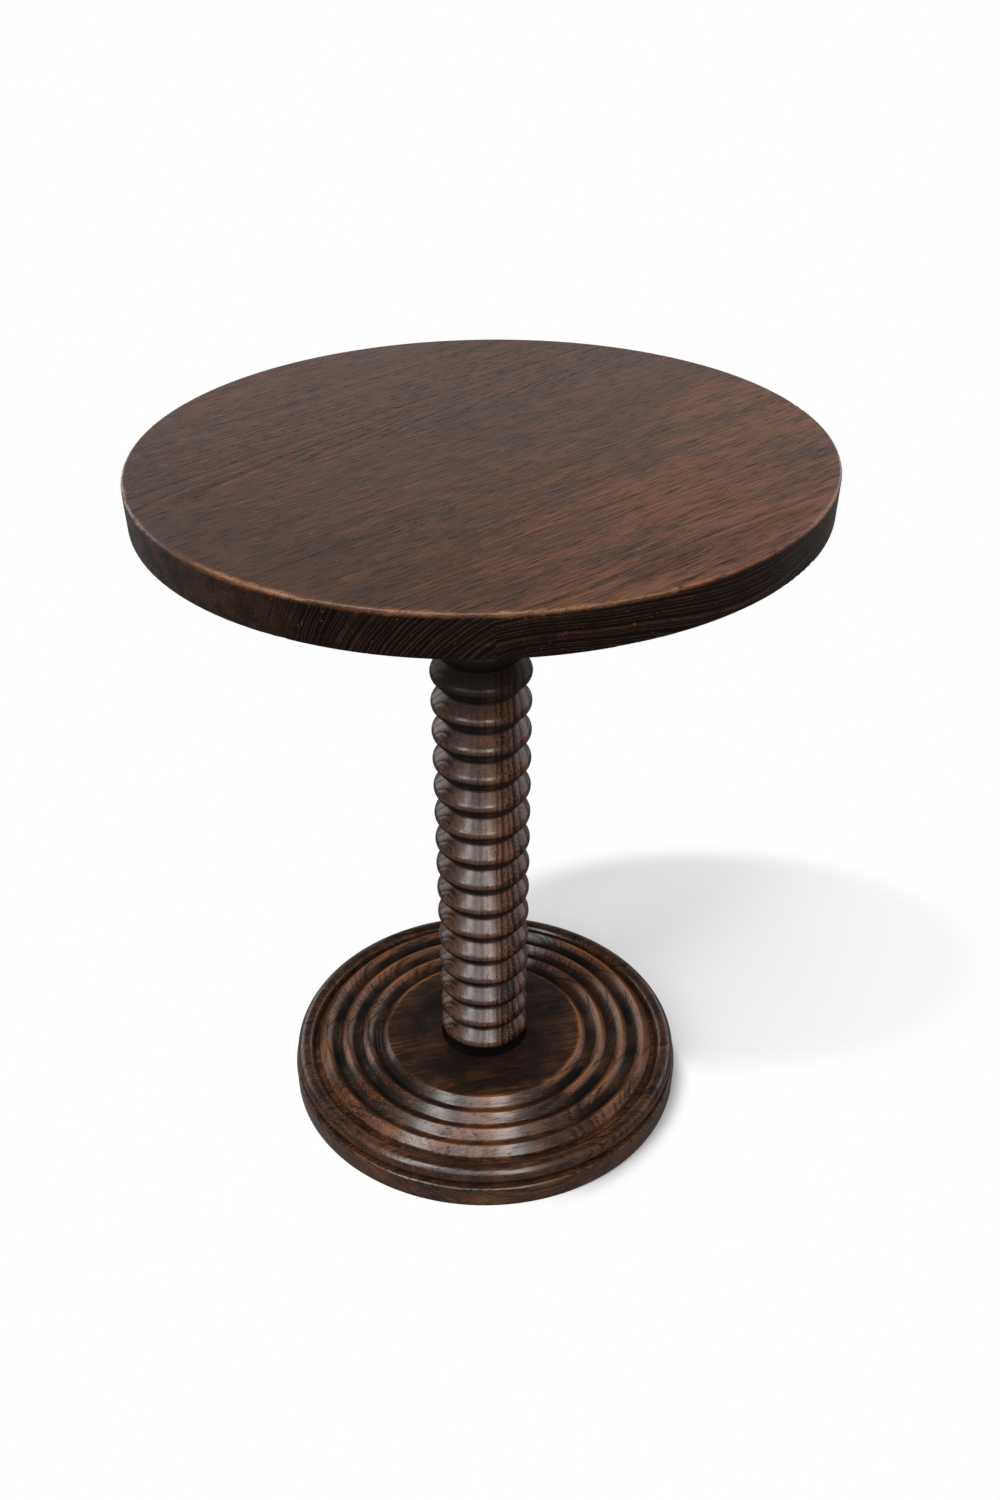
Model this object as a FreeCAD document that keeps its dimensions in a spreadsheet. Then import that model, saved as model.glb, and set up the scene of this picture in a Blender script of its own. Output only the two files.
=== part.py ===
import FreeCAD, Part
import math
import os
import Sketcher
from FreeCAD import Placement, Rotation, Vector

# A round pedestal table in solid oak: a thick top of five boards, a column turned as a stack of
# beads, and a base of two turned layers. Millimetres, +Z up, origin on the floor under the column.
# X runs along the grain of the top; the boards of the base lie turned from it by base_angle.

SIZES = [
    ("top_diameter", 500.0, "round top, across"),
    ("top_thickness", 30.0, "round top, thickness"),
    ("top_arris", 2.2, "worn rounding of the top's upper edge"),
    ("under_arris", 2.0, "rounding of the top's lower edge"),
    ("tongue_thickness", 6.0, "loose tongues, thickness"),
    ("tongue_depth", 9.0, "how far a tongue goes into each board"),
    ("tongue_stop", 28.0, "end of a tongue, short of the rim"),
    ("column_diameter", 82.0, "column over the beads"),
    ("bead_pitch", 26.8, "height of one bead"),
    ("bead_count", 19, "number of beads"),
    ("groove_depth", 10.0, "depth of the groove between beads"),
    ("bead_rounding", 7.0, "rounding of a bead's crest"),
    ("tenon_diameter", 45.0, "round tenon at each end of the column"),
    ("wedge_mouth", 5.0, "tenon wedge, thick end"),
    ("wedge_tip", 1.5, "tenon wedge, thin end"),
    ("wedge_length", 15.0, "tenon wedge, length driven in"),
    ("cleat_width", 110.0, "cleat under the top, along the top's grain"),
    ("cleat_thickness", 22.0, "cleat under the top, thickness"),
    ("cleat_overhang", 48.0, "cleat, past its outer screws"),
    ("cleat_chamfer", 8.0, "cleat, chamfer of its lower ends"),
    ("cleat_screw_spread", 64.0, "outer cleat screws, apart along the grain"),
    ("base_diameter", 370.0, "plinth, across"),
    ("plinth_height", 23.0, "plinth, thickness"),
    ("plinth_arris", 2.5, "rounding of the plinth's upper edge"),
    ("foot_chamfer", 1.5, "chamfer of the plinth's lower edge"),
    ("foot_rim", 35.0, "rim that the plinth stands on, width"),
    ("recess_depth", 4.0, "hollow under the plinth, depth"),
    ("base_angle", -25.0, "base boards, turned from the top's grain, degrees"),
    ("moulding_height", 23.0, "moulded disc, thickness"),
    ("shelf_step", 2.0, "moulded disc's lower edge, inside the plinth's"),
    ("shelf_height", 1.8, "moulded disc's lower edge, height"),
    ("torus_radius", 8.5, "torus moulding, radius of its section"),
    ("torus_step", 2.5, "torus moulding, inside the plinth's edge"),
    ("torus_lift", 1.5, "torus moulding, above the plinth"),
    ("valley_width", 4.0, "flat between the torus and the bevel"),
    ("roll_bevel", 7.5, "bevel outside the coves, width and drop"),
    ("roll_radius", 3.0, "rounding of the bevel's outer edge"),
    ("cove_pitch", 20.0, "from one crest of the coves to the next"),
    ("cove_depth", 7.0, "depth of a cove"),
    ("cove_rounding", 4.0, "rounding of a cove's bottom"),
    ("crest_land", 1.2, "worn flat on each crest between coves"),
    ("seat_margin", 1.0, "seat of the column in the base, inside the beads' crests"),
    ("seat_depth", 5.0, "seat of the column in the base, depth"),
    ("seat_arris", 1.5, "seat of the column in the base, bevel of its edge"),
    ("screw_diameter", 5.0, "wood screws, thread"),
    ("screw_head", 9.6, "wood screws, head across"),
    ("screw_head_height", 3.0, "wood screws, countersunk head"),
    ("screw_tip", 6.0, "wood screws, pointed end"),
    ("screw_point", 0.8, "wood screws, blunt end across"),
    ("screw_slot", 1.2, "wood screws, width of the driver slot"),
    ("screw_slot_depth", 1.3, "wood screws, depth of the driver slot"),
    ("screw_clearance", 0.4, "round a screw in the piece it pulls up"),
    ("top_screw_bite", 18.0, "cleat screws, length in the top"),
    ("base_screw_bite", 13.0, "base screws, length in the moulded disc"),
    ("base_screw_margin", 9.3, "base screws across the grain, past the edge of a tongue"),
    ("overrun", 1.0, "cutting tools, past what they cut"),
]

# Joint lines between boards, as shares of the diameter of the disc they cross.
TOP_JOINT_SHARES = (-0.394, -0.132, 0.132, 0.394)
MOULDING_JOINT_SHARES = (-0.167, 0.167)
PLINTH_JOINT_SHARES = (-0.257, 0.257)
# Inner cleat screws, as a share of the distance from the column's axis to the first joint.
INNER_SCREW_SHARE = 0.62

doc = FreeCAD.newDocument("wine_table")
sheet = doc.addObject("Spreadsheet::Sheet", "sizes")
for row, (alias, value, note) in enumerate(SIZES, start=1):
    sheet.set("A%d" % row, note)
    sheet.set("B%d" % row, str(value))
    sheet.setAlias("B%d" % row, alias)
doc.recompute()


def formula(text):
    """Write each size's alias in a formula as a reference to the sheet."""
    for alias, _, _ in sorted(SIZES, key=lambda size: -len(size[0])):
        text = text.replace("<%s>" % alias, "sizes.%s" % alias)
    return text


# Heights and radii that several pieces share, written as formulas of the sheet's sizes.
BASE_TOP = "(<plinth_height> + <moulding_height>)"
BEADS = "(<bead_pitch> * <bead_count>)"
COLUMN_TOP = "(%s + %s)" % (BASE_TOP, BEADS)
TOP_UNDERSIDE = "(%s + <cleat_thickness>)" % COLUMN_TOP
TOP_RADIUS = "(<top_diameter> / 2)"
BASE_RADIUS = "(<base_diameter> / 2)"
TENON_RADIUS = "(<tenon_diameter> / 2)"
LOWER_TENON = "(%s - <recess_depth>)" % BASE_TOP
TORUS_RING = "(%s - <torus_step> - <torus_radius>)" % BASE_RADIUS
TORUS_HEIGHT = "(<torus_lift> + <torus_radius>)"
ROLL_RADIUS = "(%s - <torus_radius> - <valley_width>)" % TORUS_RING
OUTER_CREST = "(%s - <roll_bevel> - <crest_land> / 2)" % ROLL_RADIUS
COVE_HALF = "((<cove_pitch> - <crest_land>) / 2)"
COVE_FLOOR = "(<moulding_height> - <cove_depth>)"
GROOVE_RADIUS = "(<column_diameter> / 2 - <groove_depth>)"
SEAT_RADIUS = "(<column_diameter> / 2 - <seat_margin>)"


def bind(item, sizes):
    """Bind properties of an object to formulas."""
    for name, text in sizes.items():
        item.setExpression(name, formula(text))


def place(item, x="0", y="0", z="0", turn=None):
    """Bind an object's place, first turned about the column's axis where a turn is given."""
    if turn is None:
        bind(item, {"Placement.Base.x": x, "Placement.Base.y": y, "Placement.Base.z": z})
        return
    item.Placement = Placement(Vector(), Rotation(Vector(0, 0, 1), sheet.get("base_angle")))
    bind(item, {
        "Placement.Base.x": "(%s) * cos(%s) - (%s) * sin(%s)" % (x, turn, y, turn),
        "Placement.Base.y": "(%s) * sin(%s) + (%s) * cos(%s)" % (x, turn, y, turn),
        "Placement.Base.z": z,
        "Placement.Rotation.Angle": turn,
    })


def origin_part(body, role):
    """A body's own origin plane or axis, by its role."""
    return next(item for item in body.Origin.OriginFeatures if item.Role == role)


def feature(body, kind, name, sizes, plane="XY_Plane"):
    """A turned or sawn form in a body, standing on one of the body's own planes."""
    item = body.newObject("PartDesign::" + kind, name)
    item.AttachmentSupport = [(origin_part(body, plane), "")]
    item.MapMode = "FlatFace"
    bind(item, sizes)
    doc.recompute()
    return item


def dress(body, kind, name, edges, sizes):
    """A fillet or chamfer on edges of the body's last feature."""
    base = body.Tip
    item = body.newObject("PartDesign::" + kind, name)
    item.Base = (base, edges)
    bind(item, sizes)
    doc.recompute()
    return item


def edge_names(shape, wanted):
    """Names of the edges that meet a condition."""
    return ["Edge%d" % number for number, edge in enumerate(shape.Edges, start=1) if wanted(edge)]


def top_ring(body):
    """The edge of a body's last feature that lies highest."""
    shape = body.Tip.Shape
    level = max(edge.BoundBox.ZMin for edge in shape.Edges)
    return edge_names(shape, lambda edge: edge.BoundBox.ZMin == level)


def bottom_ring(body):
    """The edge of a body's last feature that lies lowest."""
    shape = body.Tip.Shape
    level = min(edge.BoundBox.ZMax for edge in shape.Edges)
    return edge_names(shape, lambda edge: edge.BoundBox.ZMax == level)


def bevel_ring(body):
    """The lower edge of a bevel cut round the top of a body."""
    shape = body.Tip.Shape
    levels = sorted(set(edge.BoundBox.ZMin for edge in shape.Edges if edge.isClosed()))
    return edge_names(shape, lambda edge: edge.isClosed() and edge.BoundBox.ZMin == levels[-2])


def new_body(name):
    return doc.addObject("PartDesign::Body", name)


def box(name, sizes, x, y, z, turn=None):
    item = doc.addObject("Part::Box", name)
    bind(item, sizes)
    place(item, x, y, z, turn)
    return item


def cylinder(name, radius, height, x="0", y="0", z="0"):
    item = doc.addObject("Part::Cylinder", name)
    bind(item, {"Radius": radius, "Height": height})
    place(item, x, y, z)
    return item


def compound(name, items):
    item = doc.addObject("Part::Compound", name)
    item.Links = items
    return item


def cut(name, base, room):
    """One piece with the room for what fits in it or passes through it taken out."""
    item = doc.addObject("Part::Cut", name)
    item.Base = base
    item.Tool = room
    return item


def common(name, base, tool):
    item = doc.addObject("Part::Common", name)
    item.Base = base
    item.Tool = tool
    return item


# Sections that are turned about the axis

class Section:
    """A sketch on a body's XZ plane, right of the axis, with its lengths bound to formulas."""

    START, END, CENTRE, ORIGIN = 1, 2, 3, (-1, 1)

    def __init__(self, body, name):
        self.sketch = body.newObject("Sketcher::SketchObject", name)
        self.sketch.AttachmentSupport = [(origin_part(body, "XZ_Plane"), "")]
        self.sketch.MapMode = "FlatFace"

    def line(self, begin, finish):
        return self.sketch.addGeometry(Part.LineSegment(begin, finish), False)

    def arc(self, begin, middle, finish):
        return self.sketch.addGeometry(Part.ArcOfCircle(begin, middle, finish), False)

    def rule(self, *words):
        return self.sketch.addConstraint(Sketcher.Constraint(*words))

    def size(self, text, *words):
        """A length in the sketch, now and as a formula."""
        bind(self.sketch, {"Constraints[%d]" % self.rule(*words): text})

    def chain(self, joint, *lines):
        """Each line's end on the next one's start: Coincident, or Tangent to run on smoothly."""
        for line, following in zip(lines, lines[1:]):
            self.rule(joint, line, self.END, following, self.START)


def touch_point(point, centre, radius):
    """Where a line from a point touches a circle, right of the line to the circle's centre."""
    reach = math.hypot(centre.x - point.x, centre.y - point.y)
    lean = math.atan2(centre.y - point.y, centre.x - point.x) - math.asin(radius / reach)
    length = math.sqrt(reach ** 2 - radius ** 2)
    return Vector(point.x + length * math.cos(lean), point.y + length * math.sin(lean), 0)


def revolve(body, kind, name, section):
    """A section turned right round the axis, as wood added or as a groove cut."""
    doc.recompute()
    item = body.newObject("PartDesign::" + kind, name)
    item.Profile = section.sketch
    item.ReferenceAxis = (section.sketch, ["V_Axis"])
    doc.recompute()
    return item


def make_bead_section(body):
    """Half of one bead: straight flanks from the grooves, tangent to a rounded crest."""
    part = Section(body, "bead_section")
    pitch, rounding = sheet.get("bead_pitch"), sheet.get("bead_rounding")
    middle, crest = pitch / 2, sheet.get("column_diameter") / 2
    groove, centre = crest - sheet.get("groove_depth"), crest - rounding
    axis_low, axis_high = Vector(0, 0, 0), Vector(0, pitch, 0)
    groove_low, groove_high = Vector(groove, 0, 0), Vector(groove, pitch, 0)
    touch_low = touch_point(groove_low, Vector(centre, middle, 0), rounding)
    touch_high = Vector(touch_low.x, pitch - touch_low.y, 0)
    lower = part.line(axis_low, groove_low)
    low_flank = part.line(groove_low, touch_low)
    bead = part.arc(touch_low, Vector(crest, middle, 0), touch_high)
    high_flank = part.line(touch_high, groove_high)
    upper = part.line(groove_high, axis_high)
    axis = part.line(axis_high, axis_low)
    part.rule("Coincident", lower, part.START, *part.ORIGIN)
    part.chain("Coincident", high_flank, upper, axis, lower, low_flank)
    part.chain("Tangent", low_flank, bead, high_flank)
    part.rule("Horizontal", lower)
    part.rule("Horizontal", upper)
    part.rule("Vertical", axis)
    part.rule("Vertical", low_flank, part.START, high_flank, part.END)
    part.size(GROOVE_RADIUS, "DistanceX", lower, part.START, lower, part.END, groove)
    part.size("<bead_pitch>", "DistanceY", axis, part.END, axis, part.START, pitch)
    part.size("<bead_rounding>", "Radius", bead, rounding)
    part.size("<column_diameter> / 2 - <bead_rounding>",
              "DistanceX", *part.ORIGIN, bead, part.CENTRE, centre)
    part.size("<bead_pitch> / 2", "DistanceY", *part.ORIGIN, bead, part.CENTRE, middle)
    return part


def make_cove_section(body, number):
    """One cove, counted from outside: straight flanks from the crests, tangent to a rounded bottom.

    It is drawn near its place; the formulas of its sizes move it to its exact place.
    """
    part = Section(body, "cove_section_%d" % (number + 1))
    middle_text = "(%s - <cove_pitch> * (%d + 1 / 2))" % (OUTER_CREST, number)
    centre_text = "(%s + <cove_rounding>)" % COVE_FLOOR
    pitch, rounding, level = (sheet.get(alias) for alias in ("cove_pitch", "cove_rounding", "moulding_height"))
    middle = sheet.get("base_diameter") / 2 - pitch * (number + 2)
    half = (pitch - sheet.get("crest_land")) / 2
    depth = level - sheet.get("cove_depth")
    rise = depth + rounding
    inner, outer = Vector(middle - half, level, 0), Vector(middle + half, level, 0)
    touch_in = touch_point(inner, Vector(middle, rise, 0), rounding)
    touch_out = Vector(middle + (middle - touch_in.x), touch_in.y, 0)
    flank_in = part.line(inner, touch_in)
    bottom = part.arc(touch_in, Vector(middle, depth, 0), touch_out)
    flank_out = part.line(touch_out, outer)
    lid = part.line(outer, inner)
    part.chain("Tangent", flank_in, bottom, flank_out)
    part.chain("Coincident", flank_out, lid, flank_in)
    part.rule("Horizontal", lid)
    part.size("2 * " + COVE_HALF, "DistanceX", lid, part.END, lid, part.START, 2 * half)
    part.size("%s - %s" % (middle_text, COVE_HALF), "DistanceX", *part.ORIGIN, lid, part.END, middle - half)
    part.size("<moulding_height>", "DistanceY", *part.ORIGIN, lid, part.END, level)
    part.size("<cove_rounding>", "Radius", bottom, rounding)
    part.size(middle_text, "DistanceX", *part.ORIGIN, bottom, part.CENTRE, middle)
    part.size(centre_text, "DistanceY", *part.ORIGIN, bottom, part.CENTRE, rise)
    return part


# Turned blanks

def make_top_blank():
    """The round top before the joints are shown: a disc with worn edges."""
    body = new_body("top_blank")
    feature(body, "AdditiveCylinder", "top_disc", {"Radius": TOP_RADIUS, "Height": "<top_thickness>"})
    dress(body, "Fillet", "top_worn_edge", top_ring(body), {"Radius": "<top_arris>"})
    dress(body, "Fillet", "top_lower_edge", bottom_ring(body), {"Radius": "<under_arris>"})
    place(body, z=TOP_UNDERSIDE)
    return body


def make_plinth_blank():
    """The lower layer of the base: a plain disc, hollowed below so that it stands on a rim."""
    body = new_body("plinth_blank")
    feature(body, "AdditiveCylinder", "plinth_disc", {"Radius": BASE_RADIUS, "Height": "<plinth_height>"})
    dress(body, "Fillet", "plinth_edge", top_ring(body), {"Radius": "<plinth_arris>"})
    dress(body, "Chamfer", "foot_edge", bottom_ring(body), {"Size": "<foot_chamfer>"})
    feature(body, "SubtractiveCylinder", "foot_recess",
            {"Radius": BASE_RADIUS + " - <foot_rim>", "Height": "<recess_depth>"})
    feature(body, "SubtractiveCylinder", "plinth_mortise",
            {"Radius": TENON_RADIUS, "Height": "<plinth_height>"})
    return body


def make_moulding_blank():
    """The upper layer of the base: seat, flat centre, three coves, a bevel, a valley and a torus."""
    body = new_body("moulding_blank")
    feature(body, "AdditiveCylinder", "roll_disc", {"Radius": ROLL_RADIUS, "Height": "<moulding_height>"})
    dress(body, "Chamfer", "bevel", top_ring(body), {"Size": "<roll_bevel>"})
    dress(body, "Fillet", "bevel_edge", bevel_ring(body), {"Radius": "<roll_radius>"})
    feature(body, "AdditiveCylinder", "valley_floor", {"Radius": TORUS_RING, "Height": TORUS_HEIGHT})
    feature(body, "AdditiveTorus", "torus", {
        "Radius1": TORUS_RING, "Radius2": "<torus_radius>", "AttachmentOffset.Base.z": TORUS_HEIGHT})
    feature(body, "AdditiveCylinder", "shelf", {
        "Radius": BASE_RADIUS + " - <shelf_step>", "Height": "<shelf_height>"})
    for number in range(3):
        revolve(body, "Groove", "cove_%d" % (number + 1), make_cove_section(body, number))
    feature(body, "SubtractiveCylinder", "seat", {
        "Radius": SEAT_RADIUS, "Height": "<seat_depth>",
        "AttachmentOffset.Base.z": "<moulding_height> - <seat_depth>"})
    feature(body, "SubtractiveCone", "seat_edge", {
        "Radius1": SEAT_RADIUS, "Radius2": SEAT_RADIUS + " + <seat_arris>", "Height": "<seat_arris>",
        "AttachmentOffset.Base.z": "<moulding_height> - <seat_arris>"})
    feature(body, "SubtractiveCylinder", "moulding_mortise", {
        "Radius": TENON_RADIUS, "Height": "<moulding_height>"})
    place(body, z="<plinth_height>")
    return body


def make_column_turning():
    """One bead turned, repeated up the column, on a core with a neck and a tenon at each end."""
    body = new_body("column_turning")
    bead = revolve(body, "Revolution", "bead", make_bead_section(body))
    beads = body.newObject("PartDesign::LinearPattern", "beads")
    beads.Originals = [bead]
    beads.Direction = (origin_part(body, "Z_Axis"), [""])
    bind(beads, {"Length": "<bead_pitch> * (<bead_count> - 1)", "Occurrences": "<bead_count>"})
    body.Tip = beads
    doc.recompute()
    feature(body, "AdditiveCylinder", "neck", {
        "Radius": GROOVE_RADIUS, "Height": "<seat_depth>", "AttachmentOffset.Base.z": "-<seat_depth>"})
    feature(body, "AdditiveCylinder", "core", {
        "Radius": TENON_RADIUS,
        "Height": "%s + %s + <cleat_thickness>" % (LOWER_TENON, BEADS),
        "AttachmentOffset.Base.z": "-" + LOWER_TENON})
    place(body, z=BASE_TOP)
    return body


# Fasteners

def make_screw(name, length, x, y, z, turn=None):
    """A countersunk wood screw, head down, pointing up."""
    body = new_body(name)
    shank = "(%s - <screw_tip>)" % length
    feature(body, "AdditiveCone", name + "_head", {
        "Radius1": "<screw_head> / 2", "Radius2": "<screw_diameter> / 2", "Height": "<screw_head_height>"})
    feature(body, "AdditiveCylinder", name + "_shank", {
        "Radius": "<screw_diameter> / 2", "Height": shank})
    feature(body, "AdditiveCone", name + "_tip", {
        "Radius1": "<screw_diameter> / 2", "Radius2": "<screw_point> / 2", "Height": "<screw_tip>",
        "AttachmentOffset.Base.z": shank})
    feature(body, "SubtractiveBox", name + "_slot", {
        "Length": "<screw_head>", "Width": "<screw_slot>", "Height": "<screw_slot_depth>",
        "AttachmentOffset.Base.x": "-<screw_head> / 2", "AttachmentOffset.Base.y": "-<screw_slot> / 2"})
    place(body, x, y, z, turn)
    return body


def make_wedge_prism(name, z, turn, points_up):
    """A tapered strip across a tenon, its thick end flush with the tenon's end at height z."""
    body = new_body(name)
    mouth, tip = "<wedge_mouth> / 2", "<wedge_tip> / 2"
    lower, upper = (mouth, tip) if points_up else (tip, mouth)
    reach = "(%s + <overrun>)" % TENON_RADIUS
    feature(body, "AdditiveWedge", name + "_taper", {
        "Xmin": "-" + lower, "Xmax": lower, "X2min": "-" + upper, "X2max": upper,
        "Ymin": "0", "Ymax": "<wedge_length>",
        "Zmin": "-" + reach, "Zmax": reach, "Z2min": "-" + reach, "Z2max": reach}, "XZ_Plane")
    place(body, z=z if points_up else z + " - <wedge_length>", turn=turn)
    return body


# Discs sawn from boards

def make_tongues(prefix, shares, diameter, rim, middle, turn):
    """Loose tongues, one in each joint, stopped short of the rim so that they don't show."""
    tongues = []
    for number, share in enumerate(shares, start=1):
        joint = "(%s * <%s>)" % (share, diameter)
        half = "(sqrt(%s ^ 2 - %s ^ 2) - <tongue_stop>)" % (rim, joint)
        tongues.append(box("%s_tongue_%d" % (prefix, number), {
            "Length": "2 * " + half, "Width": "2 * <tongue_depth>", "Height": "<tongue_thickness>"},
            "-" + half, joint + " - <tongue_depth>", middle + " - <tongue_thickness> / 2", turn))
    return tongues


def make_boards(prefix, blank, shares, diameter, low, thickness, room, turn):
    """The boards of one disc: the blank sawn along the joints, less the room for what it holds."""
    half = "(<%s> / 2 + <overrun>)" % diameter
    joints = ["(%s * <%s>)" % (share, diameter) for share in shares]
    sides = ["(-%s)" % half] + joints + [half]
    boards = []
    for number, (near, far) in enumerate(zip(sides, sides[1:]), start=1):
        name = "%s_board_%d" % (prefix, number)
        strip = box(name + "_strip", {
            "Length": "2 * " + half, "Width": "%s - %s" % (far, near),
            "Height": thickness + " + 2 * <overrun>"},
            "-" + half, near, low + " - <overrun>", turn)
        sawn = common(name + "_sawn", blank, strip)
        boards.append(cut(name, sawn, room))
    return boards


def make_top(screws):
    tongues = make_tongues("top", TOP_JOINT_SHARES, "top_diameter", TOP_RADIUS,
                           "(%s + <top_thickness> / 2)" % TOP_UNDERSIDE, None)
    boards = make_boards("top", make_top_blank(), TOP_JOINT_SHARES, "top_diameter", TOP_UNDERSIDE,
                         "<top_thickness>", compound("top_room", tongues + screws), None)
    return boards + tongues


def make_moulding(screws):
    tongues = make_tongues("moulding", MOULDING_JOINT_SHARES, "base_diameter", ROLL_RADIUS,
                           "(<plinth_height> + %s / 2)" % COVE_FLOOR, "<base_angle>")
    boards = make_boards("moulding", make_moulding_blank(), MOULDING_JOINT_SHARES, "base_diameter",
                         "<plinth_height>", "<moulding_height>",
                         compound("moulding_room", tongues + screws), "<base_angle>")
    return boards + tongues


def make_plinth(holes):
    tongues = make_tongues("plinth", PLINTH_JOINT_SHARES, "base_diameter", BASE_RADIUS,
                           "(<plinth_height> / 2)", "<base_angle>")
    boards = make_boards("plinth", make_plinth_blank(), PLINTH_JOINT_SHARES, "base_diameter", "0",
                         "<plinth_height>", compound("plinth_room", tongues + holes),
                         "<base_angle>")
    return boards + tongues


# Screws and the holes they pass through

def make_hole(name, depth, x, y, z, turn):
    """The room for a screw in the piece it pulls up: a countersink and a clear round hole."""
    body = new_body(name)
    feature(body, "AdditiveCylinder", name + "_clear", {
        "Radius": "<screw_diameter> / 2 + <screw_clearance>", "Height": depth})
    feature(body, "AdditiveCone", name + "_sink", {
        "Radius1": "<screw_head> / 2", "Radius2": "<screw_diameter> / 2", "Height": "<screw_head_height>"})
    place(body, x, y, z, turn)
    return body


def make_screw_set(prefix, places, length, low, depth, turn):
    """Screws at a list of places, with the hole each needs in the piece it pulls up."""
    screws, holes = [], []
    for number, (x, y) in enumerate(places, start=1):
        screws.append(make_screw("%s_screw_%d" % (prefix, number), length, x, y, low, turn))
        holes.append(make_hole("%s_hole_%d" % (prefix, number), depth, x, y, low, turn))
    return screws, holes


OUTER_SCREW_ROW = "((%s + %s) / 2 * <top_diameter>)" % TOP_JOINT_SHARES[2:]
INNER_SCREW_ROW = "(%s * %s * <top_diameter>)" % (INNER_SCREW_SHARE, TOP_JOINT_SHARES[2])
CLEAT_SCREW_PLACES = [
    (side + "<cleat_screw_spread> / 2", end + OUTER_SCREW_ROW) for side in ("", "-") for end in ("", "-")
] + [("0", end + INNER_SCREW_ROW) for end in ("", "-")]
SCREW_CREST = "(%s - 2 * <cove_pitch>)" % OUTER_CREST
SCREW_ROW = "(%s * <base_diameter> + <tongue_depth> + <base_screw_margin>)" % PLINTH_JOINT_SHARES[-1]
BASE_SCREW_PLACES = [(SCREW_CREST, "0"), ("-" + SCREW_CREST, "0"), ("0", SCREW_ROW), ("0", "-" + SCREW_ROW)]

cleat_screws, cleat_holes = make_screw_set(
    "cleat", CLEAT_SCREW_PLACES, "(<cleat_thickness> + <top_screw_bite>)", COLUMN_TOP,
    "<cleat_thickness>", None)
PLINTH_WEB = "(<plinth_height> - <recess_depth>)"
base_screws, base_holes = make_screw_set(
    "base", BASE_SCREW_PLACES, "(%s + <base_screw_bite>)" % PLINTH_WEB, "<recess_depth>",
    PLINTH_WEB, "<base_angle>")

# Column, wedges and cleat


def make_wedges():
    """One wedge in each tenon, set across the grain of the piece that the tenon goes through."""
    upper = make_wedge_prism("upper_kerf", TOP_UNDERSIDE, "90", False)
    lower = make_wedge_prism("lower_kerf", "<recess_depth>", "<base_angle>", True)
    core = cylinder("tenon_round", TENON_RADIUS, TOP_UNDERSIDE)
    wedges = [common("upper_wedge", upper, core), common("lower_wedge", lower, core)]
    return [upper, lower], wedges


def make_cleat(holes):
    """A bar across the grain of the top, its lower ends chamfered, mortised for the column."""
    body = new_body("cleat_blank")
    half = "(%s + <cleat_overhang>)" % OUTER_SCREW_ROW
    feature(body, "AdditiveBox", "cleat_bar", {
        "Length": "<cleat_width>", "Width": "2 * " + half, "Height": "<cleat_thickness>",
        "AttachmentOffset.Base.x": "-<cleat_width> / 2", "AttachmentOffset.Base.y": "-" + half})
    lowest = bottom_ring(body)
    shape = body.Tip.Shape
    ends = [name for name in lowest if shape.getElement(name).BoundBox.XLength > 0]
    dress(body, "Chamfer", "cleat_ends", ends, {"Size": "<cleat_chamfer>"})
    place(body, z=COLUMN_TOP)
    mortise = cylinder("cleat_mortise", TENON_RADIUS, "<cleat_thickness>", z=COLUMN_TOP)
    return cut("cleat", body, compound("cleat_room", [mortise] + holes))


kerfs, wedges = make_wedges()
column = cut("column", make_column_turning(), compound("column_room", kerfs))
cleat = make_cleat(cleat_holes)
pieces = [column, cleat] + wedges
pieces += [compound("cleat_screws", cleat_screws), compound("base_screws", base_screws)]
pieces += make_top(cleat_screws)
pieces += make_moulding(base_screws)
pieces += make_plinth(base_holes)
doc.recompute()

# Every object has to be sound before anything is written.
for item in doc.Objects:
    if "Invalid" in item.State or "Error" in item.State:
        raise RuntimeError("%s did not build: %s" % (item.Label, item.State))
for piece in pieces:
    if piece.Shape.isNull() or not piece.Shape.isValid() or not piece.Shape.Solids:
        raise RuntimeError("%s has no sound solid" % piece.Label)

os.makedirs("parts", exist_ok=True)
for piece in pieces:
    piece.Shape.exportStep(os.path.join("parts", piece.Label + ".step"))
    print("%-20s %d solid(s) %12.1f mm3" % (piece.Label, len(piece.Shape.Solids), piece.Shape.Volume))
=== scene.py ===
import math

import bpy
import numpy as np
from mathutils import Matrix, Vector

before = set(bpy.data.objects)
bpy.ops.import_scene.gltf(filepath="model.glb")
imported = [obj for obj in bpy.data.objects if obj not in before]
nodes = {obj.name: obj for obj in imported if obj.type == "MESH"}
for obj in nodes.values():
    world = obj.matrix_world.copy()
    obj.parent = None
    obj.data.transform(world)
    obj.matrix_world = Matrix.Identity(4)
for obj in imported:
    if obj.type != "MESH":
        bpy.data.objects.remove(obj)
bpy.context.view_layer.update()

# %% [markdown]
# # A round oak pedestal table
#
# A small side table: a thick round top, a column turned as a stack of beads, and a moulded round
# foot. It is solid oak under a dark stain, waxed for years and worn to orange along its edges.
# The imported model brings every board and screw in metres, with +Z up and the origin on the floor
# under the column, so nothing has to be placed by eye. Its solids already have the right shapes,
# so this script adds no pieces: it gives each board its finish, then sets the camera and the light.

# %% [markdown]
# ## Writing shaders as sums
#
# A material is a graph of nodes. It could be drawn by hand in the shader editor, but there a ring or
# a wear mask is hard to read and hard to use twice. As code it stays readable if one small class
# stands for the output of a node and lets plain arithmetic add the Math nodes: `1 - ring * 0.5`
# becomes two nodes. A second class owns one node tree and has a single method for every other node.

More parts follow.
